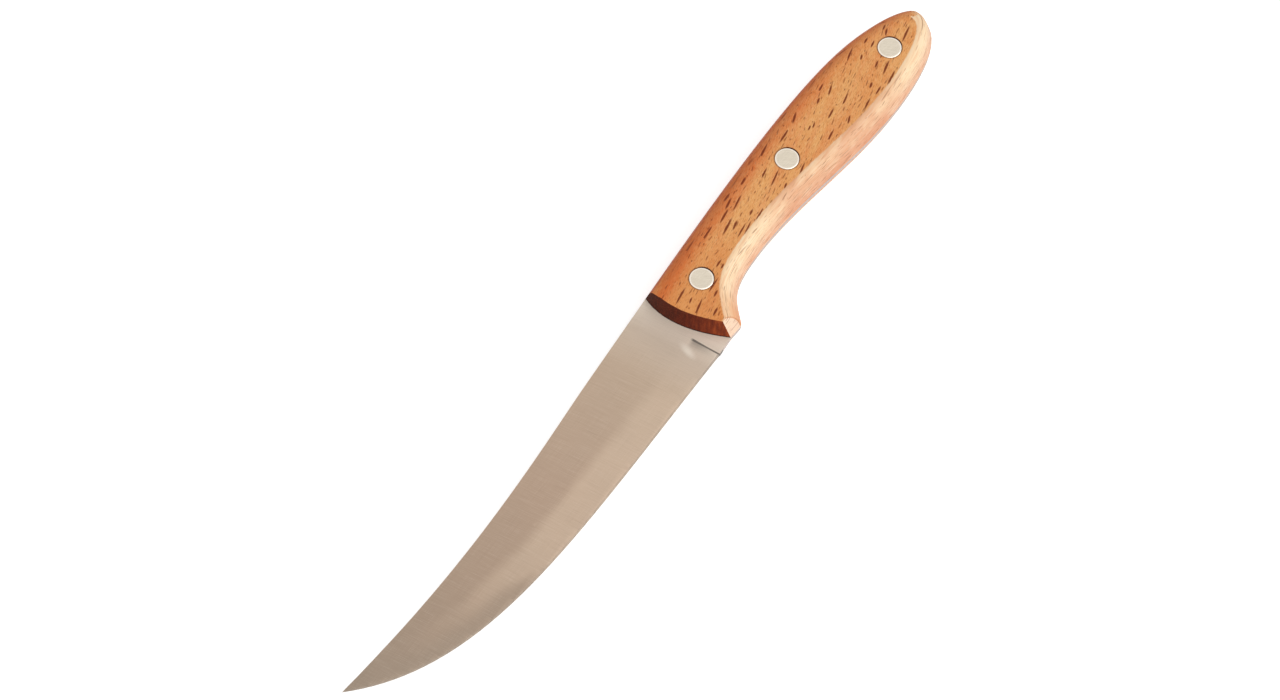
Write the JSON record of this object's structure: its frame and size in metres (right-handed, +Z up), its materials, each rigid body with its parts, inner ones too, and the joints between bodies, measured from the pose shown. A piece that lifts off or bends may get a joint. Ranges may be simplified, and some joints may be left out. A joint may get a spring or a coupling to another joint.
{
  "type": "tomato knife",
  "caption": "Kitchen knife with an upswept, plain-edged blade, a full tang and contoured beech scales held by flush rivets, lying on its side.",
  "frame": {"origin": "middle of the knife's length and width, on the surface it lies on, which is the flat of the lower scale", "axes": "+X from the tip to the butt, +Y from the edge to the spine, +Z up through the flats of the scales"},
  "size_m": [0.2642, 0.0364, 0.0165],
  "materials": {
    "blade_steel": "fine satin, ground along the edge",
    "beech": "oiled, with dark pores",
    "rivet_metal": "sanded flush with the wood"
  },
  "bodies": {
    "root": {"blade": "blade_steel", "upper_scale": "beech", "lower_scale": "beech", "front_rivet_post": "rivet_metal", "front_rivet_socket": "rivet_metal", "middle_rivet_post": "rivet_metal", "middle_rivet_socket": "rivet_metal", "butt_rivet_post": "rivet_metal", "butt_rivet_socket": "rivet_metal"}
  },
  "joints": []
}
